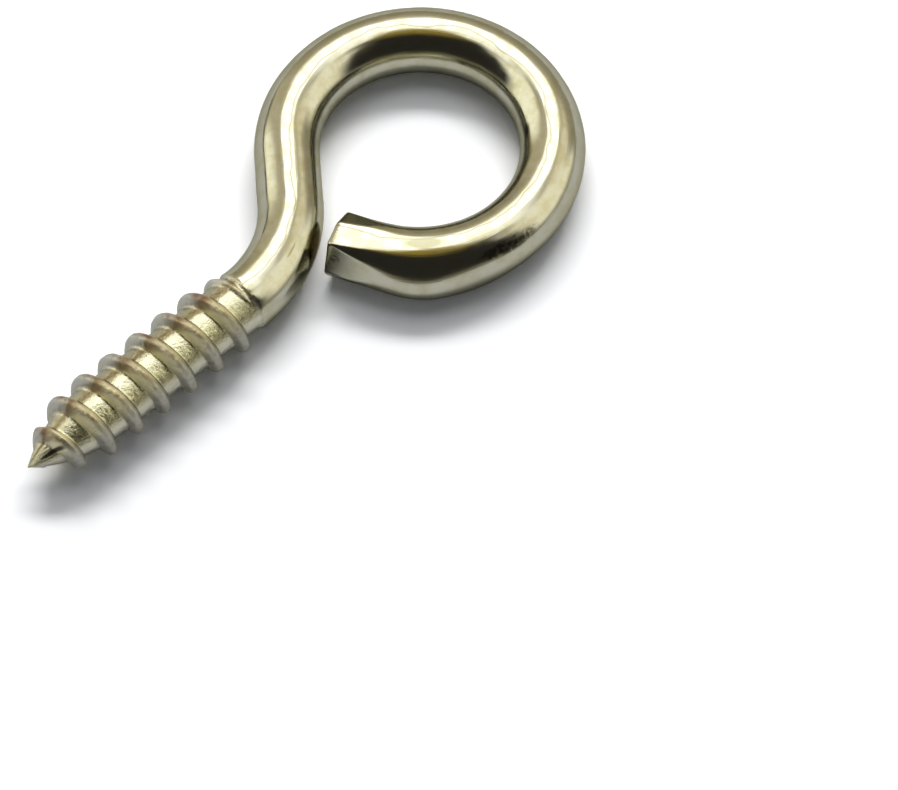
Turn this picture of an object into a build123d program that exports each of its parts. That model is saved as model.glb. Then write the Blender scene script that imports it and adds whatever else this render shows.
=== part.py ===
"""Screw eye pin: a small wood-screw eye, bent from one piece of plated steel wire.

The shank carries a right-hand rolled wood thread that runs out to a gimlet point. Past the
thread the wire leans out to one side along the neck and bends back round the eye. Its end is
almost straight, stops a little short of the neck, and has the two flats that nippers press
into it.

Frame: millimetres. The origin is the eye's centre, the eye lies flat in the XY plane, and the
shank runs along X with its point towards -X.
"""

import os
from math import acos, atan2, ceil, cos, degrees, pi, radians, sin, sqrt, tan

from build123d import *

# Driving dimensions, in millimetres and degrees
WIRE_DIA = 1.2  # plain wire of the shank, the neck and the eye
EYE_HOLE_DIA = 3.6  # clear hole of the eye
SHANK_OFFSET = 0.26  # the shank's axis runs this far beside the eye's centre
NECK_SLOPE = 51.4  # lean of the neck's straight run away from the shank
NECK_RUN = 1.05  # straight wire between the neck's two bends
PLAIN_SHANK = 0.05  # plain straight wire between the thread and the neck

THREAD_LENGTH = 5.01  # from the point to the last of the thread
THREAD_DIA = 1.48  # over the crests
ROOT_DIA = 1.09  # core between the crests
THREAD_PITCH = 0.62
CREST_WIDTH = 0.14  # flat on top of the ridge
FLANK_ANGLE = 22  # each flank against the plane across the shank
CORE_OGIVE = 1.7  # length over which the core rounds down to the point
CREST_OGIVE = 1.5  # length over which the crests close in on the point
THREAD_START = 0.17  # the ridge rises out of the core this far from the point
THREAD_START_ANGLE = 208  # where it rises, round the shank from +Y towards +Z
RUN_OUT_TURNS = 0.6  # the ridge rises, and at its other end sinks, over this much of a turn
SHOULDER = 0.09  # length of the step from the core up to the plain wire

END_LENGTH = 1.0  # the wire's end, which the bending tool leaves almost straight
END_RADIUS = 6.0  # bend that is left in it, along its centre line
EYE_GAP = 0.17  # between the cut end and the neck
CUT_ROUND = 0.07  # the plating rounds the cut's rim
FLAT_NORMALS = (97, 16)  # where the two flats face, round the wire from its outside over the top
FLAT_LENGTH = 1.0
FLAT_SHARE = 0.215  # how deep they are at the cut, in wire radii

# Modelling steps
SECTIONS_PER_TURN = 18
RIDGE_ROOTING = 0.6  # the ridge's foot lies at this share of the core's radius
SHORTEST_TURN = 0.3  # a last part of a turn below this joins the turn before it
RUN_OUT_CURVE = 0.6  # the ridge sinks slowly at first, then faster

# Sizes that follow from them
WIRE_RADIUS = WIRE_DIA / 2
FLAT_DEPTH = FLAT_SHARE * WIRE_RADIUS
EYE_RADIUS = (EYE_HOLE_DIA + WIRE_DIA) / 2  # of the wire's centre line
CORE_RADIUS = ROOT_DIA / 2
CREST_RADIUS = THREAD_DIA / 2
SLOPE = radians(NECK_SLOPE)
# The bend that makes shank, straight run and eye follow each other without a corner
BEND_RADIUS = (SHANK_OFFSET + EYE_RADIUS * cos(SLOPE) - NECK_RUN * sin(SLOPE)) / (1 - cos(SLOPE))
BEND_START_X = -NECK_RUN * cos(SLOPE) - (EYE_RADIUS + BEND_RADIUS) * sin(SLOPE)
BEND_CENTRE_Y = BEND_RADIUS - SHANK_OFFSET
THREAD_END_X = BEND_START_X - PLAIN_SHANK
POINT_X = THREAD_END_X - THREAD_LENGTH


def ogive_radius(distance, length, full_radius):
    """Radius of a rounded point that meets a cylinder of full_radius without a corner."""
    if distance >= length:
        return full_radius
    arc_radius = (length**2 + full_radius**2) / (2 * full_radius)
    return sqrt(arc_radius**2 - (length - distance) ** 2) - (arc_radius - full_radius)


def core_radius(distance):
    """Core radius at a distance from the point."""
    return ogive_radius(distance, CORE_OGIVE, CORE_RADIUS)


def crest_radius(distance):
    """Ridge top's radius at a distance from the point, sinking into the core at both ends."""
    full = ogive_radius(distance, CREST_OGIVE, CREST_RADIUS)
    sunk = core_radius(distance) * (1 + RIDGE_ROOTING) / 2
    to_end = min(distance - THREAD_START, THREAD_LENGTH - distance)
    risen = to_end / (RUN_OUT_TURNS * THREAD_PITCH)
    return full if risen >= 1 else sunk + (full - sunk) * max(risen, 0) ** RUN_OUT_CURVE


def ridge_section(turn):
    """Cut through the ridge, in the half plane through the shank's axis, after a number of turns."""
    distance = THREAD_START + THREAD_PITCH * turn
    angle = radians(THREAD_START_ANGLE + 360 * turn)
    foot, top = RIDGE_ROOTING * core_radius(distance), crest_radius(distance)
    half_foot = CREST_WIDTH / 2 + (top - foot) * tan(radians(FLANK_ANGLE))
    corners = [(-half_foot, foot), (half_foot, foot), (CREST_WIDTH / 2, top), (-CREST_WIDTH / 2, top)]
    return Wire.make_polygon(
        [
            Vector(
                POINT_X + distance + along,
                -SHANK_OFFSET + radius * cos(angle),
                radius * sin(angle),
            )
            for along, radius in corners
        ]
    )


def ridge():
    """The thread's ridge, as one lofted solid for each turn of the helix."""
    turns_in_all = (THREAD_LENGTH - THREAD_START) / THREAD_PITCH
    solids = []
    start = 0
    while start < turns_in_all:
        stop = start + 1 if turns_in_all - start > 1 + SHORTEST_TURN else turns_in_all
        count = ceil((stop - start) * SECTIONS_PER_TURN)
        sections = [ridge_section(start + (stop - start) * i / count) for i in range(count + 1)]
        solids.append(Solid.make_loft(sections))
        start = stop
    return solids


def core():
    """Turned core under the ridge: gimlet point, straight root and the step up to the wire."""
    axis_y = -SHANK_OFFSET
    straight = THREAD_END_X - SHOULDER
    tip = (POINT_X, axis_y)
    rounding = (POINT_X + CORE_OGIVE / 2, axis_y + core_radius(CORE_OGIVE / 2))
    full = (POINT_X + CORE_OGIVE, axis_y + CORE_RADIUS)
    with BuildPart() as turned:
        with BuildSketch():
            with BuildLine():
                point = ThreePointArc(tip, rounding, full)
                root = Line(point @ 1, (straight, axis_y + CORE_RADIUS))
                step = Line(root @ 1, (THREAD_END_X, axis_y + WIRE_RADIUS))
                face = Line(step @ 1, (THREAD_END_X, axis_y))
                Line(face @ 1, point @ 0)
            make_face()
        revolve(axis=Axis((POINT_X, axis_y, 0), (1, 0, 0)))
    return turned.part.solid()


def wire_along(path):
    """Round wire swept along a path."""
    with BuildPart() as wire:
        with BuildSketch(Plane(origin=path @ 0, z_dir=path % 0)):
            Circle(WIRE_RADIUS)
        sweep(path=path)
    return wire.part.solid()


def shank_and_neck():
    """Plain shank, the bend out of it and the neck's straight run, and where the run ends."""
    shank = Line((THREAD_END_X, -SHANK_OFFSET), (BEND_START_X, -SHANK_OFFSET))
    bend = JernArc(shank @ 1, shank % 1, BEND_RADIUS, NECK_SLOPE)
    run = PolarLine(bend @ 1, NECK_RUN, direction=bend % 1)
    return wire_along(Wire([shank, bend, run])), run


def eye_end_angle():
    """Where the eye's arc ends and the wire's straight end starts, in radians round the eye.

    The cut's outer corner stands EYE_GAP off the outside of the neck's bend.
    """
    end_turn = END_LENGTH / END_RADIUS
    swing = END_RADIUS + WIRE_RADIUS
    corner = Vector(EYE_RADIUS - END_RADIUS + swing * cos(end_turn), swing * sin(end_turn))
    bend_centre = Vector(BEND_START_X, BEND_CENTRE_Y)
    reach = BEND_RADIUS + WIRE_RADIUS + EYE_GAP
    square = corner.length**2 + bend_centre.length**2 - reach**2
    aside = acos(square / (2 * corner.length * bend_centre.length))
    return atan2(bend_centre.Y, bend_centre.X) + aside + atan2(corner.Y, corner.X)


def press_flats(ring, path):
    """Takes the nippers' two flats off the end of the wire, deepest at the cut."""
    end, ahead = path @ 1, path % 1
    lean = degrees(atan2(FLAT_DEPTH, FLAT_LENGTH))
    for normal in FLAT_NORMALS:
        facing = ahead.rotate(Axis.Z, 90).rotate(Axis((0, 0, 0), ahead), normal)
        across = facing.cross(ahead)
        flat = Plane(
            origin=end + facing * (WIRE_RADIUS - FLAT_DEPTH),
            x_dir=across,
            z_dir=facing.rotate(Axis((0, 0, 0), across), lean),
        )
        nipper = Box(WIRE_DIA, 2 * FLAT_LENGTH, WIRE_DIA, align=(Align.CENTER, Align.CENTER, Align.MIN))
        ring = (ring - flat * nipper).solid()
    return ring


def eye(run):
    """The eye from the end of the neck's run, clockwise to the cut."""
    start = run @ 1
    to_end = (atan2(start.Y, start.X) - eye_end_angle()) % (2 * pi)
    arc = JernArc(start, run % 1, EYE_RADIUS, -degrees(to_end))
    end = JernArc(arc @ 1, arc % 1, END_RADIUS, -degrees(END_LENGTH / END_RADIUS))
    path = Wire([arc, end])
    ring = press_flats(wire_along(path), path)
    cut = ring.faces().sort_by_distance(end @ 1)[0]
    return ring.fillet(CUT_ROUND, cut.edges())


def screw_eye_pin():
    """The whole pin as one solid."""
    neck, run = shank_and_neck()
    return core().fuse(*ridge(), neck, eye(run)).clean()


if __name__ == "__main__":
    os.makedirs("parts", exist_ok=True)
    pin = screw_eye_pin()
    export_step(pin, "parts/screw_eye_pin.step")
    box = pin.bounding_box()
    print(f"length {box.size.X:.2f}, width {box.size.Y:.2f}, height {box.size.Z:.2f} mm")
    print(f"neck bend radius {BEND_RADIUS:.2f} mm, point at x {POINT_X:.2f} mm")
    print(f"solids {len(pin.solids())}, faces {len(pin.faces())}, valid {pin.is_valid}")
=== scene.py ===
"""Looks of the screw eye pin: one bent piece of nickel-plated steel wire with a wood thread.

A mirror-bright plating shows every facet, so the pin's surface is made again here as one fine
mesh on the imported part's own sizes: a helical grid for the thread, a sweep for the bent wire and
a rounded nipper cut that closes its end. Sizes are in millimetres until a mesh is written.
"""

import logging
import math
from dataclasses import dataclass, field
from enum import Enum

import bmesh
import bpy
import numpy as np
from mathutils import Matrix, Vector, noise


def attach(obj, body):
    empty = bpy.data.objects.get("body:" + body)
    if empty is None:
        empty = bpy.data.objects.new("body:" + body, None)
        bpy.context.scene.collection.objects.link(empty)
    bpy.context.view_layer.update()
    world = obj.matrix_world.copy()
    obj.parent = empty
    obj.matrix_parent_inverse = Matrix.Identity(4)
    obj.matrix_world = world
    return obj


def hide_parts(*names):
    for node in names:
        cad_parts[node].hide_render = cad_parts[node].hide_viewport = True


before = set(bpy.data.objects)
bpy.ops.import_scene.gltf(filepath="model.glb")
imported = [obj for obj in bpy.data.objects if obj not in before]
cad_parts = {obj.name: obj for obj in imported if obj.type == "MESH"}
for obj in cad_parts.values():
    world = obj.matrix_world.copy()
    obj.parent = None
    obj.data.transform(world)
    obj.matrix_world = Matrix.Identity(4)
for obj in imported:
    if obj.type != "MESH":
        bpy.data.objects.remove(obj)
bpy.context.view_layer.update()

MM = 0.001
NODE = "screw_eye_pin"
BODY = "root"

# Node kinds that both the shapes and the finishes use
CALC = "ShaderNodeMath"
VECTOR = "ShaderNodeVectorMath"
LIMIT = "ShaderNodeMapRange"
BLEND = "ShaderNodeMix"
SMOOTH = "SMOOTHSTEP"
# The setting that says what such a node does
MODES = {CALC: "operation", VECTOR: "operation", LIMIT: "interpolation_type", BLEND: "data_type"}

LOG = logging.getLogger("screw_eye_pin")

Tree = bpy.types.NodeTree
Source = bpy.types.Node | bpy.types.NodeSocket


def linear(code: str) -> tuple[float, float, float, float]:
    """Turns an sRGB hex colour into linear light.

    Args:
        code: The colour as "#RRGGBB".

    Returns:
        Red, green and blue in linear light, and an alpha of 1.
    """
    shares = [int(code[i : i + 2], 16) / 255 for i in (1, 3, 5)]
    light = [s / 12.92 if s <= 0.04045 else ((s + 0.055) / 1.055) ** 2.4 for s in shares]
    return (light[0], light[1], light[2], 1.0)


def add(tree: Tree, kind: str, inputs: dict | tuple = (), mode: str = "", **settings) -> bpy.types.Node:
    """Adds a node with its settings, values and links.

    Args:
        tree: The node tree that gets the node.
        kind: The node's type name.
        inputs: What goes into its inputs, by their names or in the order of those in use: a value,
            another node's socket, or another node, which stands for its first output in use.
        mode: What a node of the kinds in MODES does.
        **settings: The node's own properties.

    Returns:
        The new node.
    """
    node = tree.nodes.new(kind)
    if mode:
        settings[MODES[kind]] = mode
    for name, value in settings.items():
        setattr(node, name, value)
    if not isinstance(inputs, dict):
        inputs = dict(zip((i for i, socket in enumerate(node.inputs) if socket.enabled), inputs))
    for key, value in inputs.items():
        if isinstance(value, bpy.types.Node):
            value = next(socket for socket in value.outputs if socket.enabled)
        if isinstance(value, bpy.types.NodeSocket):
            tree.links.new(value, node.inputs[key])
        else:
            node.inputs[key].default_value = value
    return node


def start_shape(name: str, sizes: dict[str, float], takes_mesh: bool = False) -> Tree:
    """Starts a Geometry Nodes tree that has its sizes as named inputs.

    Args:
        name: The tree's name.
        sizes: The named inputs and their values.
        takes_mesh: Whether the tree works on the mesh that it is given.

    Returns:
        The tree, without nodes.
    """
    tree = bpy.data.node_groups.new(name, "GeometryNodeTree")
    if takes_mesh:
        tree.interface.new_socket("Geometry", in_out="INPUT", socket_type="NodeSocketGeometry")
    for label, value in sizes.items():
        socket = tree.interface.new_socket(label, in_out="INPUT", socket_type="NodeSocketFloat")
        socket.default_value = value
    tree.interface.new_socket("Geometry", in_out="OUTPUT", socket_type="NodeSocketGeometry")
    return tree


def end_shape(tree: Tree, shape: Source, material: bpy.types.Material) -> None:
    """Ends a Geometry Nodes tree: the shape is made real and gets its finish.

    Args:
        tree: The tree.
        shape: The shape that it makes.
        material: The finish.
    """
    shape = add(tree, "GeometryNodeRealizeInstances", (shape,))
    shape = add(tree, "GeometryNodeSetMaterial", {0: shape, "Material": material})
    add(tree, "NodeGroupOutput", (shape,))


def smooth_step(low: float, high: float, value: np.ndarray) -> np.ndarray:
    """Turns numbers into shares that rise smoothly from 0 at low to 1 at high."""
    share = np.clip((value - low) / (high - low), 0, 1)
    return share * share * (3 - 2 * share)


@dataclass(frozen=True)
class Flat:
    """A flat pressed into the wire's end: where it faces, its depth at the cut and its length."""

    normal: float
    depth: float
    length: float


@dataclass(frozen=True)
class Grip:
    """A place where the bending tool squeezed the wire out: the way it bulges, how far and where."""

    angle: float
    height: float
    from_cut: float
    length: float


@dataclass(frozen=True)
class Relief:
    """Smooth unevenness of a surface: its lumps in a millimetre, their height and a seed."""

    lumps_per_mm: float
    height: float
    seed: float
    spread: tuple[float, float, float] = (1.0, 2.3, -1.7)

    def at(self, points: np.ndarray) -> np.ndarray:
        """Height at each point, above or below zero."""
        shift = Vector(self.spread) * self.seed
        return self.height * np.array([noise.noise(Vector(p) * self.lumps_per_mm + shift) for p in points])


@dataclass(frozen=True)
class PinSizes:
    """The part's own sizes, in millimetres and degrees."""

    wire_radius: float = 0.6
    eye_radius: float = 2.4
    shank_offset: float = 0.26
    neck_slope: float = 51.4
    neck_run: float = 1.05
    plain_shank: float = 0.05
    thread_length: float = 5.01
    crest_radius: float = 0.74
    core_radius: float = 0.545
    pitch: float = 0.62
    crest_width: float = 0.14
    flank_angle: float = 22
    core_ogive: float = 1.7
    crest_ogive: float = 1.5
    thread_start: float = 0.17
    thread_start_angle: float = 208
    run_out_turns: float = 0.6
    shoulder: float = 0.09
    end_length: float = 1.0
    end_radius: float = 6.0
    eye_gap: float = 0.17
    cut_round: float = 0.07
    flats: tuple[Flat, ...] = (Flat(86, 0.09, 1.3), Flat(122, 0.1, 0.8), Flat(16, 0.129, 1.0))
    grips: tuple[Grip, ...] = (Grip(-15, 0.115, 1.6, 0.42), Grip(-62, 0.08, 2.45, 0.5))

    @property
    def bend_radius(self) -> float:
        """Radius of the neck's bend, which lets shank, run and eye follow without a corner."""
        slope = math.radians(self.neck_slope)
        rise = self.shank_offset + self.eye_radius * math.cos(slope) - self.neck_run * math.sin(slope)
        return rise / (1 - math.cos(slope))

    @property
    def bend_start(self) -> float:
        """Where the shank's straight part ends, along X."""
        slope = math.radians(self.neck_slope)
        reach = (self.eye_radius + self.bend_radius) * math.sin(slope)
        return -self.neck_run * math.cos(slope) - reach

    @property
    def point_x(self) -> float:
        """Where the gimlet point is, along X."""
        return self.bend_start - self.plain_shank - self.thread_length

    def unroll(self, along: np.ndarray, around: np.ndarray) -> np.ndarray:
        """Places on the wire as if it were straight along X, so that patterns follow its bends."""
        across, up = self.wire_radius * np.cos(around), self.wire_radius * np.sin(around)
        return np.stack([along, across, up], -1)


@dataclass
class WirePath:
    """The wire's centre line from the point to the cut, as straight runs and arcs in one plane."""

    sizes: PinSizes
    runs: list[tuple[float, float]] = field(default_factory=list)

    def __post_init__(self) -> None:
        """Works out the runs: length, and curvature to the left, each after the last."""
        s = self.sizes
        slope = math.radians(s.neck_slope)
        # The straightened end turns round the eye's centre until the cut's outer corner leaves
        # the gap to the neck's bend.
        turn = s.end_length / s.end_radius
        swing = s.end_radius + s.wire_radius
        corner = (s.eye_radius - s.end_radius + swing * math.cos(turn), swing * math.sin(turn))
        outer = math.hypot(*corner)
        centre = (s.bend_start, s.bend_radius - s.shank_offset)
        distance = math.hypot(*centre)
        reach = s.bend_radius + s.wire_radius + s.eye_gap
        aside = math.acos((outer**2 + distance**2 - reach**2) / (2 * outer * distance))
        stop = math.atan2(centre[1], centre[0]) + aside + math.atan2(corner[1], corner[0])
        eye = s.eye_radius * ((slope + math.pi / 2 - stop) % (2 * math.pi))
        self.runs = [
            (s.thread_length + s.plain_shank, 0.0),
            (s.bend_radius * slope, 1 / s.bend_radius),
            (s.neck_run, 0.0),
            (eye, -1 / s.eye_radius),
            (s.end_length, -1 / s.end_radius),
        ]

    @property
    def length(self) -> float:
        """The whole wire's length."""
        return sum(run[0] for run in self.runs)

    def at(self, along: np.ndarray) -> tuple[np.ndarray, np.ndarray]:
        """Places on the centre line.

        Args:
            along: Distances from the point.

        Returns:
            The points, one row of x, y and z each, and the headings in radians from +X.
        """
        along = np.asarray(along, float)
        points = np.zeros((len(along), 3))
        headings = np.zeros(len(along))
        x, y, heading, begun = self.sizes.point_x, -self.sizes.shank_offset, 0.0, 0.0
        for i, (length, curvature) in enumerate(self.runs):
            last = i == len(self.runs) - 1
            inside = (along >= begun) & ((along <= begun + length) | last)
            steps = np.append(along[inside] - begun, length)
            turned = heading + curvature * steps
            if curvature:
                xs = x + (np.sin(turned) - math.sin(heading)) / curvature
                ys = y - (np.cos(turned) - math.cos(heading)) / curvature
            else:
                xs = x + steps * math.cos(heading)
                ys = y + steps * math.sin(heading)
            points[inside, 0], points[inside, 1] = xs[:-1], ys[:-1]
            headings[inside] = turned[:-1]
            x, y, heading, begun = xs[-1], ys[-1], turned[-1], begun + length
        return points, headings


@dataclass
class WoodThread:
    """The rolled thread and its gimlet point, on a grid that winds round with the helix."""

    sizes: PinSizes
    sides: int = 180
    rows_per_turn: int = 27
    root_fillet: float = 0.11
    crest_rounding: float = 0.06
    run_out_curve: float = 0.6
    sunk_share: float = 0.8
    closing_length: float = 0.02
    weld: float = 1e-4

    @property
    def turns(self) -> int:
        """Turns of the grid, one more than the thread has, because its rows climb by a turn."""
        return math.ceil(self.sizes.thread_length / self.sizes.pitch) + 1

    def named_sizes(self) -> dict[str, float]:
        """The tree's inputs, in millimetres and radians."""
        s = self.sizes
        named = {
            "Length": s.thread_length,
            "Pitch": s.pitch,
            "Turns": float(self.turns),
            "Core Radius": s.core_radius,
            "Crest Radius": s.crest_radius,
            "Core Ogive": s.core_ogive,
            "Crest Ogive": s.crest_ogive,
            "Crest Half Width": s.crest_width / 2,
            "Flank Rise": 1 / math.tan(math.radians(s.flank_angle)),
            "Start": s.thread_start,
            "Start Angle": math.radians(s.thread_start_angle),
            "Run Out": s.run_out_turns * s.pitch,
            "Shoulder": s.shoulder,
            "Wire Radius": s.wire_radius,
            "Shank Offset": s.shank_offset,
            "Point": s.point_x,
        }
        for kind in ("Core", "Crest"):
            nose, radius = named[f"{kind} Ogive"], named[f"{kind} Radius"]
            named[f"{kind} Arc"] = (nose**2 + radius**2) / (2 * radius)
        return named

    def closing_radius(self, tree: Tree, size: dict, kind: str, distance: Source) -> Source:
        """Radius that closes on the point along a circular arc and runs on as a cylinder.

        Args:
            tree: The tree.
            size: The named sizes.
            kind: Core or Crest.
            distance: Distance from the point.

        Returns:
            The radius.
        """
        arc = size[f"{kind} Arc"]
        short = add(tree, CALC, (size[f"{kind} Ogive"], distance), "SUBTRACT")
        short = add(tree, CALC, (short, 0.0), "MAXIMUM")
        short = add(tree, CALC, (short, 2.0), "POWER")
        square = add(tree, CALC, (arc, 2.0), "POWER")
        height = add(tree, CALC, (square, short), "SUBTRACT")
        height = add(tree, CALC, (height,), "SQRT")
        drop = add(tree, CALC, (arc, size[f"{kind} Radius"]), "SUBTRACT")
        return add(tree, CALC, (height, drop), "SUBTRACT")

    def radius(self, tree: Tree, size: dict, core: Source, distance: Source, phase: Source) -> Source:
        """Radius of core and ridge, closed at the point and stepped up to the plain wire.

        Args:
            tree: The tree.
            size: The named sizes.
            core: The core's radius.
            distance: Distance from the point.
            phase: Turns from the nearest crest.

        Returns:
            The radius.
        """
        # The ridge rises near the point and sinks into the shank.
        left = add(tree, CALC, (size["Length"], distance), "SUBTRACT")
        begun = add(tree, CALC, (distance, size["Start"]), "SUBTRACT")
        risen = add(tree, CALC, (left, begun), "MINIMUM")
        risen = add(tree, LIMIT, (risen, 0.0, size["Run Out"]))
        risen = add(tree, CALC, (risen, self.run_out_curve), "POWER")
        sunk = add(tree, CALC, (core, self.sunk_share), "MULTIPLY")
        above = self.closing_radius(tree, size, "Crest", distance)
        above = add(tree, CALC, (above, sunk), "SUBTRACT")
        top = add(tree, CALC, (above, risen, sunk), "MULTIPLY_ADD")
        aside = add(tree, CALC, (phase,), "ABSOLUTE")
        aside = add(tree, CALC, (aside, size["Pitch"]), "MULTIPLY")
        aside = add(tree, CALC, (aside, size["Crest Half Width"]), "SUBTRACT")
        aside = add(tree, CALC, (aside, 0.0, self.crest_rounding), "SMOOTH_MAX")
        fall = add(tree, CALC, (aside, size["Flank Rise"]), "MULTIPLY")
        flank = add(tree, CALC, (top, fall), "SUBTRACT")
        radius = add(tree, CALC, (core, flank, self.root_fillet), "SMOOTH_MAX")
        radius = add(tree, LIMIT, (distance, 0.0, self.closing_length, 0.0, radius))
        foot = add(tree, CALC, (size["Length"], size["Shoulder"]), "SUBTRACT")
        past = add(tree, CALC, (distance, foot), "GREATER_THAN")
        step = add(tree, LIMIT, (distance, foot, size["Length"], core, size["Wire Radius"]), SMOOTH)
        step = add(tree, CALC, (step, past), "MULTIPLY")
        return add(tree, CALC, (radius, step), "MAXIMUM")

    def tree(self, material: bpy.types.Material) -> Tree:
        """Builds the node tree that turns a flat grid into the thread.

        Args:
            material: The finish that the surface gets.

        Returns:
            The tree, with the thread's sizes as named inputs.
        """
        tree = start_shape("helical_wood_thread", self.named_sizes())
        size = tree.nodes.new("NodeGroupInput").outputs
        rows = self.turns * self.rows_per_turn
        shape = add(tree, "GeometryNodeMeshGrid", (1.0, 1.0, self.sides + 1, rows + 1))
        spot = add(tree, "ShaderNodeSeparateXYZ", (add(tree, "GeometryNodeInputPosition"),)).outputs
        round_share = add(tree, CALC, (spot[0], 0.5), "ADD")
        row = add(tree, CALC, (spot[1], 0.5), "ADD")
        row = add(tree, CALC, (row, size["Turns"]), "MULTIPLY")
        # Each row climbs by one pitch in a turn, so rows run along the ridge and never across it.
        climb = add(tree, CALC, (row, round_share), "ADD")
        climb = add(tree, CALC, (climb, 1.0), "SUBTRACT")
        distance = add(tree, CALC, (climb, size["Pitch"]), "MULTIPLY")
        distance = add(tree, "ShaderNodeClamp", (distance, 0.0, size["Length"]))
        angle = add(tree, CALC, (round_share, 2 * math.pi, size["Start Angle"]), "MULTIPLY_ADD")
        # Turns along the shank from the nearest crest, negative towards the point
        begun = add(tree, CALC, (size["Start"], size["Pitch"]), "DIVIDE")
        phase = add(tree, CALC, (row, begun), "SUBTRACT")
        phase = add(tree, CALC, (phase, 0.5, -0.5), "WRAP")

        core = self.closing_radius(tree, size, "Core", distance)
        radius = self.radius(tree, size, core, distance, phase)
        height, width = (
            add(tree, CALC, (add(tree, CALC, (angle,), wave), radius), "MULTIPLY")
            for wave in ("SINE", "COSINE")
        )
        width = add(tree, CALC, (width, size["Shank Offset"]), "SUBTRACT")
        depth = add(tree, CALC, (distance, size["Point"]), "ADD")
        point = add(tree, "ShaderNodeCombineXYZ", (depth, width, height))
        point = add(tree, VECTOR, {0: point, "Scale": MM}, "SCALE")

        depth = add(tree, CALC, (size["Crest Radius"], size["Core Radius"]), "SUBTRACT")
        ridge = add(tree, CALC, (radius, core), "SUBTRACT")
        ridge = add(tree, CALC, (ridge, depth), "DIVIDE")
        for name, value in (("along", distance), ("around", angle), ("ridge", ridge), ("phase", phase)):
            shape = add(tree, "GeometryNodeStoreNamedAttribute", {0: shape, "Name": name, "Value": value})
        shape = add(tree, "GeometryNodeSetPosition", {0: shape, "Position": point})
        shape = add(tree, "GeometryNodeMergeByDistance", {0: shape, "Distance": self.weld * MM})
        end_shape(tree, shape, material)
        return tree


@dataclass
class BentWire:
    """The plain wire: the end of the shank, the neck and the eye, swept along the path."""

    path: WirePath
    sides: int = 180
    ring_spacing: float = 0.055

    def guide(self) -> bpy.types.Mesh:
        """The path as a chain of short edges, from the thread's end to the cut."""
        start, stop = self.path.sizes.thread_length, self.path.length - self.path.sizes.cut_round
        count = math.ceil((stop - start) / self.ring_spacing)
        points, _ = self.path.at(np.linspace(start, stop, count + 1))
        mesh = bpy.data.meshes.new("wire_path")
        mesh.from_pydata([tuple(p * MM) for p in points], [(i, i + 1) for i in range(count)], [])
        return mesh

    def tree(self, material: bpy.types.Material) -> Tree:
        """Builds the node tree that sweeps a round section along a chain of edges.

        Args:
            material: The finish that the surface gets.

        Returns:
            The tree, with the wire's sizes as named inputs.
        """
        sizes = {"Wire Radius": self.path.sizes.wire_radius * MM, "Start": self.path.sizes.thread_length}
        tree = start_shape("swept_wire", sizes, takes_mesh=True)
        size = tree.nodes.new("NodeGroupInput").outputs
        store = "GeometryNodeStoreNamedAttribute"
        curve = add(tree, "GeometryNodeMeshToCurve", (size["Geometry"],))
        travelled = add(tree, "GeometryNodeSplineParameter").outputs["Length"]
        along = add(tree, CALC, (travelled, 1 / MM, size["Start"]), "MULTIPLY_ADD")
        curve = add(tree, store, {0: curve, "Name": "along", "Value": along})
        circle = {"Resolution": self.sides, "Radius": size["Wire Radius"]}
        ring = add(tree, "GeometryNodeCurvePrimitiveCircle", circle)
        share = add(tree, "GeometryNodeSplineParameter").outputs["Factor"]
        around = add(tree, CALC, (share, 2 * math.pi, math.pi), "MULTIPLY_ADD")
        ring = add(tree, store, {0: ring, "Name": "around", "Value": around})
        swept = add(tree, "GeometryNodeCurveToMesh", {"Curve": curve, "Profile Curve": ring})
        end_shape(tree, swept, material)
        return tree


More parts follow.
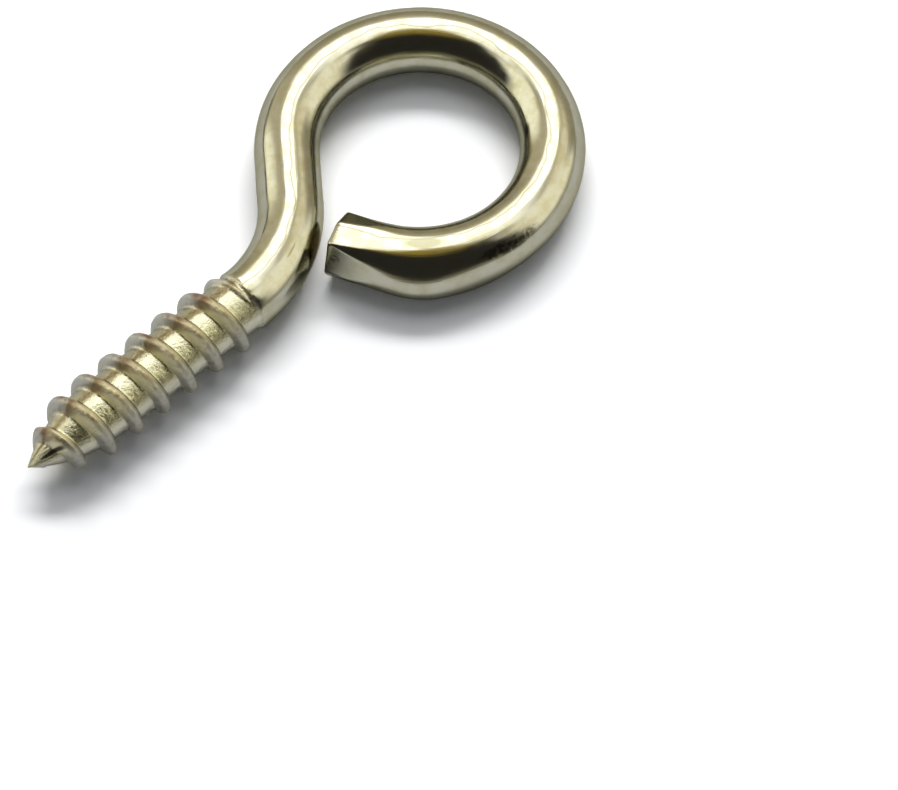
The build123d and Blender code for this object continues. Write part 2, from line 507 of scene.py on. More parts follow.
@dataclass
class ScrewEyePin:
    """The whole pin: thread, bent wire and nipper cut, welded into one closed surface."""

    sizes: PinSizes
    path: WirePath
    thread: WoodThread
    wire: BentWire
    rim_steps: int = 6
    face_rings: int = 5
    weld: float = 1e-3
    # The flats meet each other and the wire over this width, narrower towards the cut
    flat_blend: float = 0.05
    flat_blend_narrowest: float = 0.3
    # They are looked for over this many lengths of the longest, where the surface faces their way
    flat_reach: float = 1.5
    least_facing: float = 0.3
    # Drawing leaves long shallow waves with ripples on them. Rolling leaves lumps and pits.
    waves: Relief = Relief(1.6, 0.006, 3.0)
    wave_stretch: tuple[float, float, float] = (0.45, 1.0, 1.0)
    ripples: Relief = Relief(3.2, 0.0025, 9.0)
    lumps: Relief = Relief(3.0, 0.014, 21.0)
    pits: Relief = Relief(9.0, 0.006, 33.0)
    wave_depth: float = 0.006
    lump_depth: float = 0.012
    thread_fade: tuple[float, float] = (-0.05, 0.25)
    point_calm: float = 0.2

    def surface(self, mesh: bpy.types.Mesh, tree: Tree) -> bpy.types.Mesh:
        """Runs a node tree on a mesh and keeps the result as a plain mesh.

        Args:
            mesh: What the tree works on.
            tree: The tree.

        Returns:
            The result.
        """
        maker = bpy.data.objects.new("maker", mesh)
        bpy.context.scene.collection.objects.link(maker)
        modifier = maker.modifiers.new("shape", "NODES")
        modifier.node_group = tree
        for item in tree.interface.items_tree:
            if item.in_out == "INPUT" and item.socket_type == "NodeSocketFloat":
                modifier[item.identifier] = item.default_value
        bpy.context.view_layer.update()
        result = bpy.data.meshes.new_from_object(maker.evaluated_get(bpy.context.evaluated_depsgraph_get()))
        bpy.data.objects.remove(maker)
        return result

    def close_cut(self, form: bmesh.types.BMesh) -> None:
        """Closes the wire's open end with a rounded rim and a flat face.

        Args:
            form: The welded surface, with its one open loop at the cut.
        """
        along = form.verts.layers.float["along"]
        around = form.verts.layers.float["around"]
        loop = sorted((v for v in form.verts if v.is_boundary), key=lambda v: v[around])
        end = self.path.length
        rings = []
        for step in range(1, self.rim_steps + 1):
            turn = math.radians(90 * step / self.rim_steps)
            inset = self.sizes.cut_round * (1 - math.cos(turn)) / self.sizes.wire_radius
            rings.append((1 - inset, end - self.sizes.cut_round * (1 - math.sin(turn))))
        flat = rings[-1][0]
        for step in range(1, self.face_rings):
            rings.append((flat * (1 - step / self.face_rings), end))
        centre = sum((v.co for v in loop), Vector()) / len(loop)
        _, heading = self.path.at(np.array([end]))
        ahead = Vector((math.cos(heading[0]), math.sin(heading[0]), 0))
        last = loop
        for share, place in rings:
            new = []
            for v in loop:
                w = form.verts.new(centre + (v.co - centre) * share + ahead * ((place - loop[0][along]) * MM))
                w[along], w[around] = place, v[around]
                new.append(w)
            for i in range(len(loop)):
                j = (i + 1) % len(loop)
                form.faces.new((last[i], last[j], new[j], new[i]))
            last = new
        middle = form.verts.new(centre + ahead * ((end - loop[0][along]) * MM))
        middle[along] = end
        for i in range(len(loop)):
            form.faces.new((last[i], last[(i + 1) % len(loop)], middle))

    def press_flats(self, points: np.ndarray, along: np.ndarray) -> np.ndarray:
        """Presses the nippers' flats into the wire's end, deepest at the cut.

        Args:
            points: All points in millimetres.
            along: Each point's distance from the gimlet point.

        Returns:
            The points, moved.
        """
        s = self.sizes
        from_cut = self.path.length - along
        near = from_cut < self.flat_reach * max(flat.length for flat in s.flats)
        centre, heading = self.path.at(along[near])
        left = np.stack([-np.sin(heading), np.cos(heading), 0 * heading], -1)
        arm = points[near] - centre
        out, up = (arm * left).sum(1), arm[:, 2]
        on = arm - left * out[:, None]
        on[:, 2] = 0
        angle = np.arctan2(up, out)
        blend = self.flat_blend * np.clip(from_cut[near], self.flat_blend_narrowest, 1)
        limit = np.full(len(angle), s.wire_radius)
        for flat in s.flats:
            facing = np.cos(angle - math.radians(flat.normal))
            depth = flat.depth * (1 - from_cut[near] / flat.length)
            reach = (s.wire_radius - depth) / np.maximum(facing, self.least_facing)
            reach = np.where(facing > self.least_facing, reach, np.inf)
            # A cubic smooth minimum
            gap = np.maximum(blend - np.abs(limit - reach), 0) / blend
            limit = np.minimum(limit, reach) - gap**3 * blend / 6
        scale = limit / s.wire_radius
        moved = points.copy()
        moved[near] = centre + left * (out * scale)[:, None] + on
        moved[near, 2] = up * scale
        return moved

    def squeeze_out(self, points: np.ndarray, along: np.ndarray, around: np.ndarray) -> np.ndarray:
        """Lets the wire bulge out on one side, where the bending tool gripped it.

        Args:
            points: All points in millimetres.
            along: Each point's distance from the gimlet point.
            around: Each point's angle round the wire.

        Returns:
            The points, moved.
        """
        _, heading = self.path.at(along)
        moved = points.copy()
        for grip in self.sizes.grips:
            angle = math.radians(grip.angle)
            out, up = math.cos(angle), math.sin(angle)
            side = np.stack([-np.sin(heading) * out, np.cos(heading) * out, 0 * heading + up], -1)
            away = (along - (self.path.length - grip.from_cut)) / grip.length
            facing = np.clip(np.cos(around - angle), 0, 1) ** 2
            amount = grip.height * np.exp(-0.5 * away**2) * facing * (along > self.sizes.thread_length)
            moved += side * amount[:, None]
        return moved

    def wear(
        self, points: np.ndarray, along: np.ndarray, around: np.ndarray, ridge: np.ndarray
    ) -> np.ndarray:
        """Gives the surface its drawing waves, and the thread its uneven crests.

        The moves only go inwards, so the pin never grows.

        Args:
            points: All points in millimetres.
            along: Each point's distance from the gimlet point.
            around: Each point's angle round the wire.
            ridge: How far up the thread's ridge each point is.

        Returns:
            The points, moved.
        """
        centre, _ = self.path.at(along)
        arm = points - centre
        radius = np.linalg.norm(arm, axis=1)
        unrolled = self.sizes.unroll(along, around)
        starts, ends = (self.sizes.thread_length + place for place in self.thread_fade)
        plain = smooth_step(starts, ends, along)
        waves = self.waves.at(unrolled * np.array(self.wave_stretch)) + self.ripples.at(unrolled)
        height = np.clip(ridge, 0, 1)
        lumps = self.lumps.at(unrolled) * height + self.pits.at(unrolled)
        inward = plain * (waves - self.wave_depth)
        inward += (1 - plain) * np.minimum(lumps - self.lump_depth * height, 0.0)
        fade = np.clip(radius / self.point_calm, 0, 1)
        scale = 1 + inward * fade / np.maximum(radius, self.point_calm / 4)
        return centre + arm * scale[:, None]

    def build(self, material: bpy.types.Material) -> bpy.types.Object:
        """Welds thread and wire together, closes the cut, and wears, squeezes and presses the surface.

        Args:
            material: The plating.

        Returns:
            The finished piece.
        """
        form = bmesh.new()
        form.from_mesh(self.surface(bpy.data.meshes.new("grid"), self.thread.tree(material)))
        form.from_mesh(self.surface(self.wire.guide(), self.wire.tree(material)))
        bmesh.ops.remove_doubles(form, verts=form.verts, dist=self.weld * MM)
        self.close_cut(form)
        bmesh.ops.recalc_face_normals(form, faces=form.faces)
        mesh = bpy.data.meshes.new(NODE + "_surface")
        form.to_mesh(mesh)
        form.free()

        values = {}
        for name in ("along", "around", "ridge"):
            values[name] = np.zeros(len(mesh.vertices), np.float32)
            mesh.attributes[name].data.foreach_get("value", values[name])
        along, around = (values[name].astype(float) for name in ("along", "around"))
        points = np.zeros(3 * len(mesh.vertices), np.float32)
        mesh.vertices.foreach_get("co", points)
        points = points.reshape(-1, 3).astype(float) / MM
        points = self.wear(points, along, around, values["ridge"])
        points = self.squeeze_out(points, along, around)
        points = self.press_flats(points, along)
        mesh.vertices.foreach_set("co", (points * MM).astype(np.float32).ravel())
        layer = mesh.attributes.new("wire_mm", "FLOAT_VECTOR", "POINT")
        layer.data.foreach_set("vector", self.sizes.unroll(along, around).astype(np.float32).ravel())
        mesh.materials.clear()
        mesh.materials.append(material)
        for polygon in mesh.polygons:
            polygon.use_smooth = True
            polygon.material_index = 0
        mesh.update()
        piece = bpy.data.objects.new("plated_wire", mesh)
        bpy.context.scene.collection.objects.link(piece)
        return piece


class Measure(Enum):
    """What the marks on the thread go by."""

    PHASE = "turns along the shank from the crest, negative towards the point"
    ROUND = "round the shank, 0 on the side that the neck leans towards and 1 opposite"
    HEIGHT = "up the ridge, 0 in the root and 1 on the crest"
    WORN = "the height, made uneven by the blotches"
    GRAIN = "fine noise"
    BLOTCH = "broad noise"


PHASE, ROUND, HEIGHT, WORN, GRAIN, BLOTCH = Measure


@dataclass(frozen=True)
class Edge:
    """A mark's soft edge: what it goes by, and where there is least of the mark and all of it.

    With a place it goes by the distance from that place, which a slant moves round the shank.
    """

    measure: Measure
    least_at: float
    full_at: float
    least: float = 0.0
    place: float | None = None
    slant: float = 0.0

    def share(self, tree: Tree, measures: dict[Measure, Source]) -> Source:
        """Works out how much of the mark the edge leaves.

        Args:
            tree: The material's tree.
            measures: What the marks go by.

        Returns:
            A share from the least to 1.
        """
        value = measures[self.measure]
        if self.place is not None:
            place = add(tree, CALC, (measures[ROUND], self.slant, self.place), "MULTIPLY_ADD")
            value = add(tree, CALC, (value, place), "SUBTRACT")
            value = add(tree, CALC, (value,), "ABSOLUTE")
        return add(tree, LIMIT, (value, self.least_at, self.full_at, self.least), SMOOTH)


@dataclass(frozen=True)
class Mark:
    """A mark that comes back on each turn of the thread: its colour, and its strengths with their edges."""

    colour: str
    spreads: tuple[tuple[float, tuple[Edge, ...]], ...]

    def mask(self, tree: Tree, measures: dict[Measure, Source]) -> Source:
        """Makes the mark's mask, the strongest of its spreads.

        Args:
            tree: The material's tree.
            measures: What the marks go by.

        Returns:
            The mask.
        """
        whole = 0.0
        for share, edges in self.spreads:
            for edge in edges:
                share = add(tree, CALC, (share, edge.share(tree, measures)), "MULTIPLY")
            whole = add(tree, CALC, (whole, share), "MAXIMUM")
        return whole


ON_RIDGE = Edge(WORN, 0.16, 0.4)
ON_ROOT = (Edge(ROUND, 0.48, 0.62), Edge(ROUND, 0.76, 0.66), Edge(HEIGHT, 0.6, 0.3))
ON_LINE = (Edge(ROUND, 0.8, 0.5), Edge(GRAIN, 0.34, 0.56, 0.3), ON_RIDGE)
ON_FLANK = (Edge(PHASE, -0.02, -0.1), Edge(ROUND, 0.26, 0.4), Edge(ROUND, 0.84, 0.64), ON_RIDGE)
ON_CREST = (Edge(PHASE, -0.2, -0.06), Edge(PHASE, 0.12, 0.02), Edge(HEIGHT, 0.3, 0.7))
# The flank that faces the point is matt on the upper side, and its colour there is painted pale as painted
# light, because the lamps behind the pin leave that flank in shade.
MATT_FLANK_PAINTED_LIGHT = Mark("#FFF6C8", ((0.8, ON_FLANK),))
MARKS = (
    # A brown line crosses the ridge at a slant on the upper side, and a fainter one follows the crest.
    Mark("#654E2A", ((0.55, (Edge(PHASE, 0.11, 0.02, place=-0.285, slant=0.53), *ON_LINE)),)),
    Mark("#654E2A", ((0.45, (Edge(PHASE, 0.1, 0.02, place=0.02), *ON_LINE)),)),
    # Painted shade darkens the ridge's foot on the side of the point, in the crease beside the root, and dirt
    # specks the roots and the ridge's lower side.
    Mark(
        "#7E7A5E",
        (
            # Painted shade in the crease at the ridge's foot
            (0.4, (Edge(PHASE, 0.13, 0.03, place=-0.33), *ON_ROOT)),
            (0.7, (Edge(GRAIN, 0.46, 0.36), *ON_ROOT)),
            (0.32, (Edge(GRAIN, 0.56, 0.38), Edge(ROUND, 0.5, 0.7), ON_RIDGE)),
        ),
    ),
    # Rust sits in patches on the crest, along one side of the shank only.
    Mark(
        "#74503A",
        ((0.8, (Edge(BLOTCH, 0.42, 0.58), Edge(ROUND, 0.02, 0.12), Edge(ROUND, 0.34, 0.2), *ON_CREST)),),
    ),
)


@dataclass(frozen=True)
class StainOrPaintedShade:
    """A spot on the plating, a real stain or, where so marked, painted shade or a painted reflection: where
    it is along and round the wire, how long and wide, and its colour.
    """

    name: str
    along: float
    angle: float
    length: float
    width: float
    colour: str
    strength: float
    patchy: bool = False

    def mask(self, tree: Tree, wire: Source, radius: float) -> Source:
        """Makes the spot's mask, which is whole up to 0.7 of its size and gone at 1.2.

        Args:
            tree: The material's tree.
            wire: Place on the wire, unrolled.
            radius: The wire's radius.

        Returns:
            The mask, as strong as the spot in the middle.
        """
        angle = math.radians(self.angle)
        middle = (self.along, radius * math.cos(angle), radius * math.sin(angle))
        stretch = (1 / self.length, 1 / self.width, 1 / self.width)
        away = add(tree, VECTOR, (wire, middle), "SUBTRACT")
        away = add(tree, VECTOR, (away, stretch), "MULTIPLY")
        away = add(tree, VECTOR, (away,), "LENGTH")
        return add(tree, LIMIT, (away, 1.2, 0.7, 0.0, self.strength), SMOOTH)


@dataclass(frozen=True)
class NickelPlate:
    """Bright nickel, barrel-plated on drawn steel wire with a rolled thread.

    The plain wire gives the eye a warm mirror, a little wavy, with faint lines along it. In the
    thread the rollers left the steel rough and the plating is thin, so it is duller and grainy.
    """

    name: str = "bright_nickel_plate"
    nickel: str = "#BCBAA8"
    yellowed: str = "#B2AE92"
    edge_tint: str = "#C8C6B8"
    # Tones round the shank, as ROUND says, in the roots and on the ridges. Besides the plating's tone they
    # hold painted light and shade: each side round the shank is painted lighter or darker to give the
    # brightness that the lamps don't give there, and where the roots' highlight falls off.
    roots: tuple[tuple[float, str], ...] = (
        (0.0, "#C2C0B0"), (0.11, "#C6C0A4"), (0.17, "#8E8060"), (0.21, "#8C8468"), (0.28, "#D2CEB2"),
        (0.45, "#DCDAC0"), (0.58, "#DCD9B4"), (0.66, "#CEC9A2"), (0.76, "#9C9572"), (0.88, "#CCC9B2"),
        (1.0, "#DEDBCC"),
    )
    ridges: tuple[tuple[float, str], ...] = (
        (0.0, "#C2C1B8"), (0.12, "#C6C3B4"), (0.19, "#9C8E70"), (0.28, "#CFC29E"), (0.4, "#E6DCB4"),
        (0.55, "#E4DAB0"), (0.65, "#CCC5A8"), (0.75, "#BEBAA8"), (0.9, "#B8B5A8"),
    )
    opposite_side: float = 204
    wire_radius: float = 0.6
    thread_end: float = 5.0
    thread_edge: float = 0.04
    # Plating grain is about 0.01 mm and would not show, so it is drawn as grains of 0.07 mm.
    grains_per_mm: float = 14.0
    # Blotches of thinner plating are about 0.3 mm, as real ones.
    blotches_per_mm: float = 3.4
    # The noise's values between which the wire yellows and dulls, and patchy stains and the patchy painted
    # reflection appear
    yellowing: tuple[float, float] = (0.35, 0.7)
    dulling: tuple[float, float] = (0.3, 0.7)
    patches: tuple[float, float] = (0.4, 0.56)
    # How much the blotches wear the ridge, and the grain frays the borders between the tones
    unevenness: float = 0.25
    fraying: float = 0.06
    # The drawing die's lines are finer than 0.01 mm. They are drawn 0.03 mm wide, 25 times as long.
    lines_per_mm: float = 34.0
    line_stretch: tuple[float, float, float] = (0.04, 1.0, 1.0)
    # One deeper scratch of the die wanders round the wire a little, by degrees.
    scratch: str = "#77745F"
    scratch_angle: float = 96
    scratch_wander: float = 9
    scratch_width: tuple[float, float] = (2.4, 0.6)
    scratch_strength: float = 0.6
    wanders_per_mm: float = 1.1
    bump_height: float = 0.017
    wire_bump: float = 0.06
    # The plain wire is a mirror. Roots are duller, ridges more so, and rubbed flanks nearly matt.
    wire_roughness: tuple[float, float] = (0.11, 0.2)
    root_roughness: float = 0.24
    ridge_roughness: float = 0.42
    rubbed_roughness: float = 0.55
    ridge_metal: float = 0.62
    rubbed_metal: float = 0.2
    # Stains, and some spots of painted shade and painted reflection, each marked below
    stains_and_painted_shade: tuple[StainOrPaintedShade, ...] = (
        StainOrPaintedShade("neck_stain", 6.45, 168, 0.3, 0.3, "#6A563C", 0.7),
        StainOrPaintedShade("neck_scratch", 6.08, 118, 0.16, 0.02, "#8A8060", 0.7),
        StainOrPaintedShade("spot_under_end", 19.78, 329, 0.05, 0.04, "#3A3630", 0.9),
        # Painted shade: a dark patch on the inner side of the right arc, where the plating reflects the
        # shadowed floor inside the ring
        StainOrPaintedShade("painted_shade_inside_right", 15.9, 142, 0.2, 0.05, "#4A4430", 0.8),
        StainOrPaintedShade("dull_patch", 19.75, 88, 0.36, 0.12, "#8C8A70", 0.85),
        # Painted reflection: patchy dark that carries the reflected dark band on along the lower arc
        StainOrPaintedShade("patchy_painted_reflection", 18.4, 42, 0.55, 0.13, "#4A4028", 0.75, True),
        StainOrPaintedShade("brown_at_cut", 21.22, 24, 0.09, 0.11, "#6A5646", 0.8, True),
        # Darker along the lower rim, next to the cut
        StainOrPaintedShade("dark_line_on_lower_rim", 21.08, 345, 0.28, 0.035, "#4A443E", 0.7),
        # Painted reflection: widens the dark patch that the point reflects
        StainOrPaintedShade("painted_dark_reflection_at_tip", 0.42, 128, 0.2, 0.1, "#2C2A22", 0.95),
    )

    def measures(self, tree: Tree, wire: Source) -> dict[Measure, Source]:
        """Works out what the marks go by.

        Args:
            tree: The material's tree.
            wire: Place on the wire, unrolled.

        Returns:
            A number over the surface for each measure.
        """
        grain = {"Vector": wire, "Scale": self.grains_per_mm, "Detail": 4.0, "Roughness": 0.65}
        blotch = {"Vector": wire, "Scale": self.blotches_per_mm, "Detail": 3.0, "Roughness": 0.6}
        grain, blotch = (add(tree, "ShaderNodeTexNoise", noise_sizes) for noise_sizes in (grain, blotch))
        angle, half = math.radians(self.opposite_side), 0.5 / self.wire_radius
        towards = (0.0, half * math.cos(angle), half * math.sin(angle))
        turned = add(tree, VECTOR, (wire, towards), "DOT_PRODUCT")
        turned = add(tree, CALC, (turned, 0.5), "ADD")
        fraying = add(tree, LIMIT, (grain, 0.0, 1.0, -self.fraying, self.fraying))
        turned = add(tree, CALC, (turned, fraying), "ADD")
        kind = "ShaderNodeAttribute"
        height = add(tree, kind, attribute_name="ridge").outputs["Fac"]
        phase = add(tree, kind, attribute_name="phase").outputs["Fac"]
        worn = add(tree, BLEND, (self.unevenness, height, blotch), "FLOAT")
        return {PHASE: phase, ROUND: turned, HEIGHT: height, WORN: worn, GRAIN: grain, BLOTCH: blotch}

    def thread_colour(self, tree: Tree, measures: dict[Measure, Source], matt_painted_flank: Source) -> Source:
        """Colour of the thread: a tone for its roots and one for its ridges, each with painted light and
        shade round the shank, under the marks.

        Args:
            tree: The material's tree.
            measures: What the marks go by.
            matt_painted_flank: Where the flank that faces the point is matt and painted pale, as painted
                light.

        Returns:
            The colour.
        """
        tones_with_painted_shade = []
        # Each ramp paints light and shade round the shank into the tone.
        for stops in (self.roots, self.ridges):
            ramp = add(tree, "ShaderNodeValToRGB", (measures[ROUND],))
            for place, _ in stops[1:-1]:
                ramp.color_ramp.elements.new(place)
            for element, (place, code) in zip(ramp.color_ramp.elements, stops):
                element.position, element.color = place, linear(code)
            tones_with_painted_shade.append(ramp)
        on_ridge = ON_RIDGE.share(tree, measures)
        colour = add(tree, BLEND, (on_ridge, tones_with_painted_shade[0], tones_with_painted_shade[1]), "RGBA")
        masks = [(matt_painted_flank, MATT_FLANK_PAINTED_LIGHT.colour)] + [(mark.mask(tree, measures), mark.colour) for mark in MARKS]
        for mask, code in masks:
            colour = add(tree, BLEND, (mask, colour, linear(code)), "RGBA")
        return colour

    def wire_colour(self, tree: Tree, wire: Source, blotch: Source) -> Source:
        """Colour of the plain wire, yellowed in blotches, with the drawing die's scratch.

        Args:
            tree: The material's tree.
            wire: Place on the wire, unrolled.
            blotch: The broad noise.

        Returns:
            The colour.
        """
        yellowing = add(tree, LIMIT, (blotch, *self.yellowing), SMOOTH)
        along, across, up = add(tree, "ShaderNodeSeparateXYZ", (wire,)).outputs
        angle = add(tree, CALC, (up, across), "ARCTAN2")
        angle = add(tree, CALC, (angle,), "DEGREES")
        wander = {"W": along, "Scale": self.wanders_per_mm, "Detail": 2.0}
        wander = add(tree, "ShaderNodeTexNoise", wander, noise_dimensions="1D")
        least, most = (self.scratch_angle + sign * self.scratch_wander for sign in (-1, 1))
        wander = add(tree, LIMIT, (wander, 0.0, 1.0, least, most))
        off = add(tree, CALC, (angle, wander), "SUBTRACT")
        off = add(tree, CALC, (off,), "ABSOLUTE")
        scratched = add(tree, LIMIT, (off, *self.scratch_width, 0.0, self.scratch_strength), SMOOTH)
        colour = linear(self.nickel)
        for mask, code in ((yellowing, self.yellowed), (scratched, self.scratch)):
            colour = add(tree, BLEND, (mask, colour, linear(code)), "RGBA")
        return colour

    def material(self) -> bpy.types.Material:
        """Builds the plating."""
        made = bpy.data.materials.new(self.name)
        made.use_nodes = True
        tree = made.node_tree
        tree.nodes.clear()
        wire = add(tree, "ShaderNodeAttribute", attribute_name="wire_mm").outputs["Vector"]
        measures = self.measures(tree, wire)
        grain, blotch = measures[GRAIN], measures[BLOTCH]
        along = add(tree, "ShaderNodeSeparateXYZ", (wire,)).outputs[0]
        starts, ends = (self.thread_end + side * self.thread_edge for side in (1, -1))
        threaded = add(tree, LIMIT, (along, starts, ends))
        # The flank that faces the point: matt, with painted light in its colour
        matt_painted_flank = MATT_FLANK_PAINTED_LIGHT.mask(tree, measures)

        plain, thread = self.wire_colour(tree, wire, blotch), self.thread_colour(tree, measures, matt_painted_flank)
        colour = add(tree, BLEND, (threaded, plain, thread), "RGBA")
        patches = add(tree, LIMIT, (grain, *self.patches), SMOOTH)
        for stain_or_shade in self.stains_and_painted_shade:
            mask = stain_or_shade.mask(tree, wire, self.wire_radius)
            if stain_or_shade.patchy:
                mask = add(tree, CALC, (mask, patches), "MULTIPLY")
            colour = add(tree, BLEND, (mask, colour, linear(stain_or_shade.colour)), "RGBA")

        on_ridge = ON_RIDGE.share(tree, measures)
        tarnished = add(tree, CALC, (on_ridge, threaded), "MULTIPLY")
        metal = add(tree, LIMIT, (tarnished, 0.0, 1.0, 1.0, self.ridge_metal))
        rough = add(tree, LIMIT, (blotch, *self.dulling, *self.wire_roughness))
        drawn = add(tree, VECTOR, (wire, self.line_stretch), "MULTIPLY")
        lines = {"Vector": drawn, "Scale": self.lines_per_mm, "Detail": 2.0}
        lines = add(tree, "ShaderNodeTexNoise", lines)
        matt = add(tree, CALC, (matt_painted_flank, threaded), "MULTIPLY")
        metal = add(tree, BLEND, (matt, metal, self.rubbed_metal), "FLOAT")
        dull = add(tree, BLEND, (on_ridge, self.root_roughness, self.ridge_roughness), "FLOAT")
        for share, other in ((threaded, dull), (matt, self.rubbed_roughness)):
            rough = add(tree, BLEND, (share, rough, other), "FLOAT")
        height = add(tree, BLEND, (threaded, lines, grain), "FLOAT")
        depth = add(tree, BLEND, (threaded, self.wire_bump, 1.0), "FLOAT")
        bump = {"Strength": depth, "Distance": self.bump_height * MM, "Height": height}
        look = {"Base Color": colour, "Metallic": metal, "Roughness": rough}
        look |= {"Specular Tint": linear(self.edge_tint), "Normal": add(tree, "ShaderNodeBump", bump)}
        add(tree, "ShaderNodeOutputMaterial", (add(tree, "ShaderNodeBsdfPrincipled", look),))
        return made


@dataclass(frozen=True)
class Panel:
    """A patch of the room, in degrees to the right from straight behind the pin and above the table."""

    name: str
    across: tuple[float, float]
    up: tuple[float, float]
    soft: tuple[float, float]
    colour: str
    level: float


@dataclass(frozen=True)
class SoftBox:
    """A lamp with a white face: where it is and how large, in degrees, and how bright.

    It lights the table and the matt ridges, and isn't seen in the plating.
    """

    name: str
    across: float
    up: float
    width: float
    height: float
    level: float


@dataclass(frozen=True)
class Studio:
    """A white table, a large soft light behind the pin and a dark room in front of it."""

    aim: tuple[float, float, float] = (-3.1695, -4.1748, 0.0)
    azimuth: float = -43.0
    elevation: float = 58.6
    distance: float = 90.0
    lens: float = 205.8
    sensor: float = 36.0
    clip: tuple[float, float] = (1.0, 10000.0)
    floor_size: float = 600.0
    # The table touches the eye's far side and the thread's first full crests, as x and z.
    touch_eye: tuple[float, float] = (2.4, -0.618)
    touch_thread: tuple[float, float] = (-8.6, -0.745)
    white: str = "#F2F2F2"
    white_in_plating: float = 0.85
    white_to_eye: float = 1.2
    lamp_distance: float = 400.0
    lamps: tuple[SoftBox, ...] = (
        SoftBox("key_light", 3, 53.5, 44, 11, 13.3),
        SoftBox("high_light", 3, 74, 50, 36, 1.38),
        SoftBox("low_light", 3, 38, 60, 22, 1.4),
    )
    dark: str = "#32312E"
    ambient: str = "#DDE6F6"
    ambient_level: float = 0.16
    panels: tuple[Panel, ...] = (
        Panel("viewer_side", (-200, 200), (-90, 9), (1, 7), "#C0BCA8", 0.62),
        Panel("overhead", (-200, 200), (76, 200), (1, 9), "#C4AC50", 0.85),
        Panel("back_wall_low", (-64, 58), (-90, 40), (8, 12), "#E8DEC4", 0.58),
        Panel("back_wall", (-64, 58), (24, 60), (8, 12), "#F0E6CC", 0.85),
        Panel("left_glow", (-58, -30), (4, 44), (10, 8), "#F0E6CC", 0.9),
        Panel("right_glow", (38, 66), (30, 56), (5, 6), "#FFF6DC", 1.25),
        Panel("left_wall", (-95, -52), (-12, 62), (7, 8), "#FFFDEE", 1.75),
        Panel("right_wall", (62, 110), (8, 64), (8, 8), "#FFFBEA", 1.5),
        Panel("left_corner", (-66, -40), (-10, 6), (3, 3), "#8A7A5C", 0.45),
        Panel("top_light", (-80, 84), (62, 82), (12, 6), "#FFFEF6", 2.0),
        Panel("soft_box", (-25, 29), (38, 83), (2, 5), "#FFFEFA", 3.0),
    )

    def direction(self, azimuth: float, elevation: float) -> Vector:
        """Way towards a place in the room, in degrees to the right from behind the pin and upwards."""
        turn, rise = math.radians(90 + self.azimuth - azimuth), math.radians(elevation)
        return Vector((math.cos(turn) * math.cos(rise), math.sin(turn) * math.cos(rise), math.sin(rise)))

    def camera(self) -> None:
        """Makes the camera."""
        data = bpy.data.cameras.new("camera")
        data.lens, data.sensor_width = self.lens, self.sensor
        data.clip_start, data.clip_end = (away * MM for away in self.clip)
        camera = bpy.data.objects.new("camera", data)
        bpy.context.scene.collection.objects.link(camera)
        back = self.direction(180, self.elevation)
        camera.location = (Vector(self.aim) + back * self.distance) * MM
        camera.rotation_euler = (math.radians(90 - self.elevation), 0, math.radians(self.azimuth))
        bpy.context.scene.camera = camera

    def paper(self) -> bpy.types.Material:
        """Matt white paper: it shows soft shadows only, and the plating shows it a little greyer."""
        made = bpy.data.materials.new("matt_white_paper")
        made.use_nodes = True
        tree = made.node_tree
        tree.nodes.clear()
        ray = add(tree, "ShaderNodeLightPath").outputs
        white = linear(self.white)
        for kind, level in (("Is Glossy Ray", self.white_in_plating), ("Is Camera Ray", self.white_to_eye)):
            white = add(tree, BLEND, (ray[kind], white, (level, level, level, 1.0)), "RGBA")
        add(tree, "ShaderNodeOutputMaterial", (add(tree, "ShaderNodeBsdfDiffuse", {"Color": white}),))
        return made

    def floor(self) -> None:
        """Makes the table top, which touches the eye and the thread as the pin rests on it."""
        (x0, z0), (x1, z1) = self.touch_eye, self.touch_thread
        slope = (z1 - z0) / (x1 - x0)
        far = self.floor_size / 2
        form = bmesh.new()
        corners = []
        for x, y in ((-far, -far), (far, -far), (far, far), (-far, far)):
            corners.append(form.verts.new(Vector((x, y, z0 + slope * (x - x0))) * MM))
        form.faces.new(corners)
        mesh = bpy.data.meshes.new("table")
        form.to_mesh(mesh)
        form.free()
        mesh.materials.append(self.paper())
        table = bpy.data.objects.new("table", mesh)
        bpy.context.scene.collection.objects.link(table)

    def lights(self) -> None:
        """Hangs the lamps so that they face the pin."""
        away = self.lamp_distance * MM
        for lamp in self.lamps:
            width, height = (2 * away * math.tan(math.radians(d / 2)) for d in (lamp.width, lamp.height))
            data = bpy.data.lights.new(lamp.name, "AREA")
            data.shape = "RECTANGLE"
            data.size, data.size_y = width, height
            # A face of level 1 is as bright as white under full light.
            data.energy = lamp.level * math.pi * width * height
            light = bpy.data.objects.new(lamp.name, data)
            bpy.context.scene.collection.objects.link(light)
            towards = self.direction(lamp.across, lamp.up)
            light.location = Vector(self.aim) * MM + towards * away
            light.rotation_euler = towards.to_track_quat("Z", "Y").to_euler()
            light.visible_camera = False
            light.visible_glossy = False

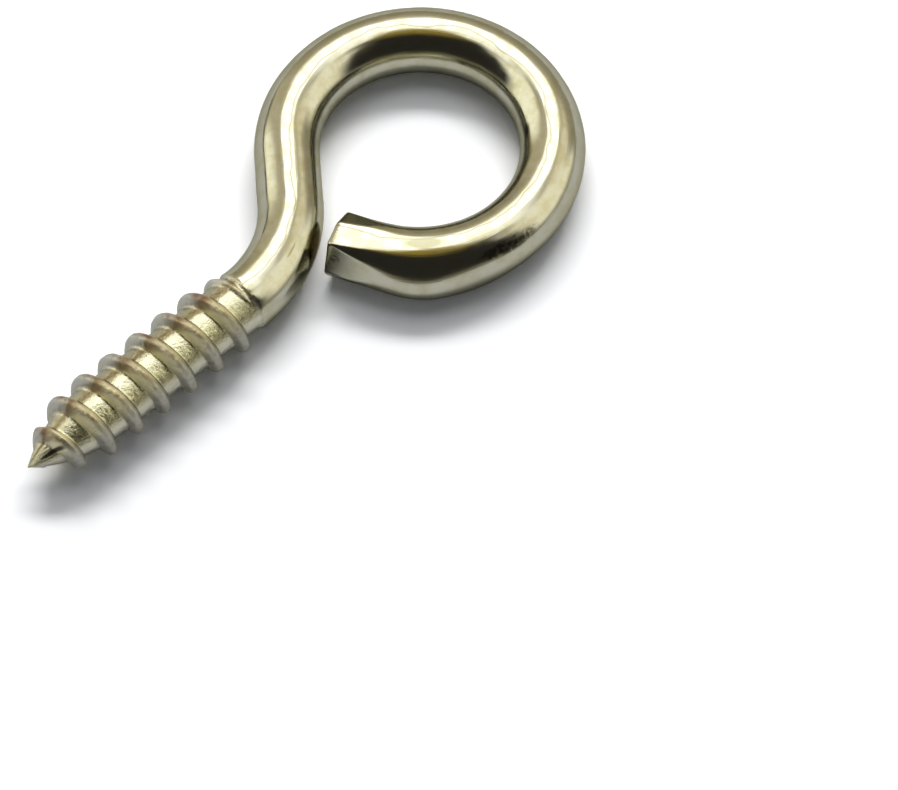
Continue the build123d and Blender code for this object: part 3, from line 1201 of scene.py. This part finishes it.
    def room(self) -> None:
        """Makes the room that the plating reflects, as panels that face the pin."""
        world = bpy.data.worlds.new("studio")
        bpy.context.scene.world = world
        world.use_nodes = True
        tree = world.node_tree
        tree.nodes.clear()
        facing = add(tree, "ShaderNodeTexCoord").outputs["Generated"]
        axes = (self.direction(0, 0), self.direction(90, 0), Vector((0, 0, 1)))
        ahead, aside, above = (
            add(tree, VECTOR, (facing, axis), "DOT_PRODUCT") for axis in axes
        )
        turn = add(tree, CALC, (aside, ahead), "ARCTAN2")
        turn = add(tree, CALC, (turn,), "DEGREES")
        rise = add(tree, CALC, (above,), "ARCSINE")
        rise = add(tree, CALC, (rise,), "DEGREES")
        colour = linear(self.dark)
        for panel in self.panels:
            lit = [channel * panel.level for channel in linear(panel.colour)[:3]] + [1.0]
            mask = 1.0
            for value, span, soft in zip((turn, rise), (panel.across, panel.up), panel.soft):
                for limit, sign in zip(span, (1, -1)):
                    ends = (value, limit - sign * soft, limit + sign * soft)
                    edge = add(tree, LIMIT, ends, SMOOTH)
                    mask = add(tree, CALC, (mask, edge), "MULTIPLY")
            colour = add(tree, BLEND, (mask, colour, lit), "RGBA")
        # The table is lit by the room's plain light, and the eye sees white behind the table.
        plain = [channel * self.ambient_level for channel in linear(self.ambient)[:3]] + [1.0]
        ray = add(tree, "ShaderNodeLightPath").outputs
        colour = add(tree, BLEND, (ray["Is Glossy Ray"], plain, colour), "RGBA")
        colour = add(tree, BLEND, (ray["Is Camera Ray"], colour, (1, 1, 1, 1)), "RGBA")
        sky = add(tree, "ShaderNodeBackground", {"Color": colour, "Strength": 1.0})
        add(tree, "ShaderNodeOutputWorld", (sky,))

    def build(self) -> None:
        """Makes camera, table, lamps and room."""
        self.camera()
        self.floor()
        self.lights()
        self.room()
        bpy.context.scene.view_settings.view_transform = "Standard"


def main() -> None:
    """Builds the pin, hangs it on its body, hides the imported part and builds the studio."""
    logging.basicConfig(level=logging.INFO, format="%(message)s")
    sizes = PinSizes()
    path = WirePath(sizes)
    pin = ScrewEyePin(sizes, path, WoodThread(sizes), BentWire(path))
    piece = pin.build(NickelPlate().material())
    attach(piece, BODY)
    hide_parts(NODE)
    LOG.info("%s: %d vertices, %d faces", piece.name, len(piece.data.vertices), len(piece.data.polygons))
    Studio().build()
    LOG.info("studio is up")


if __name__ == "__main__":
    main()
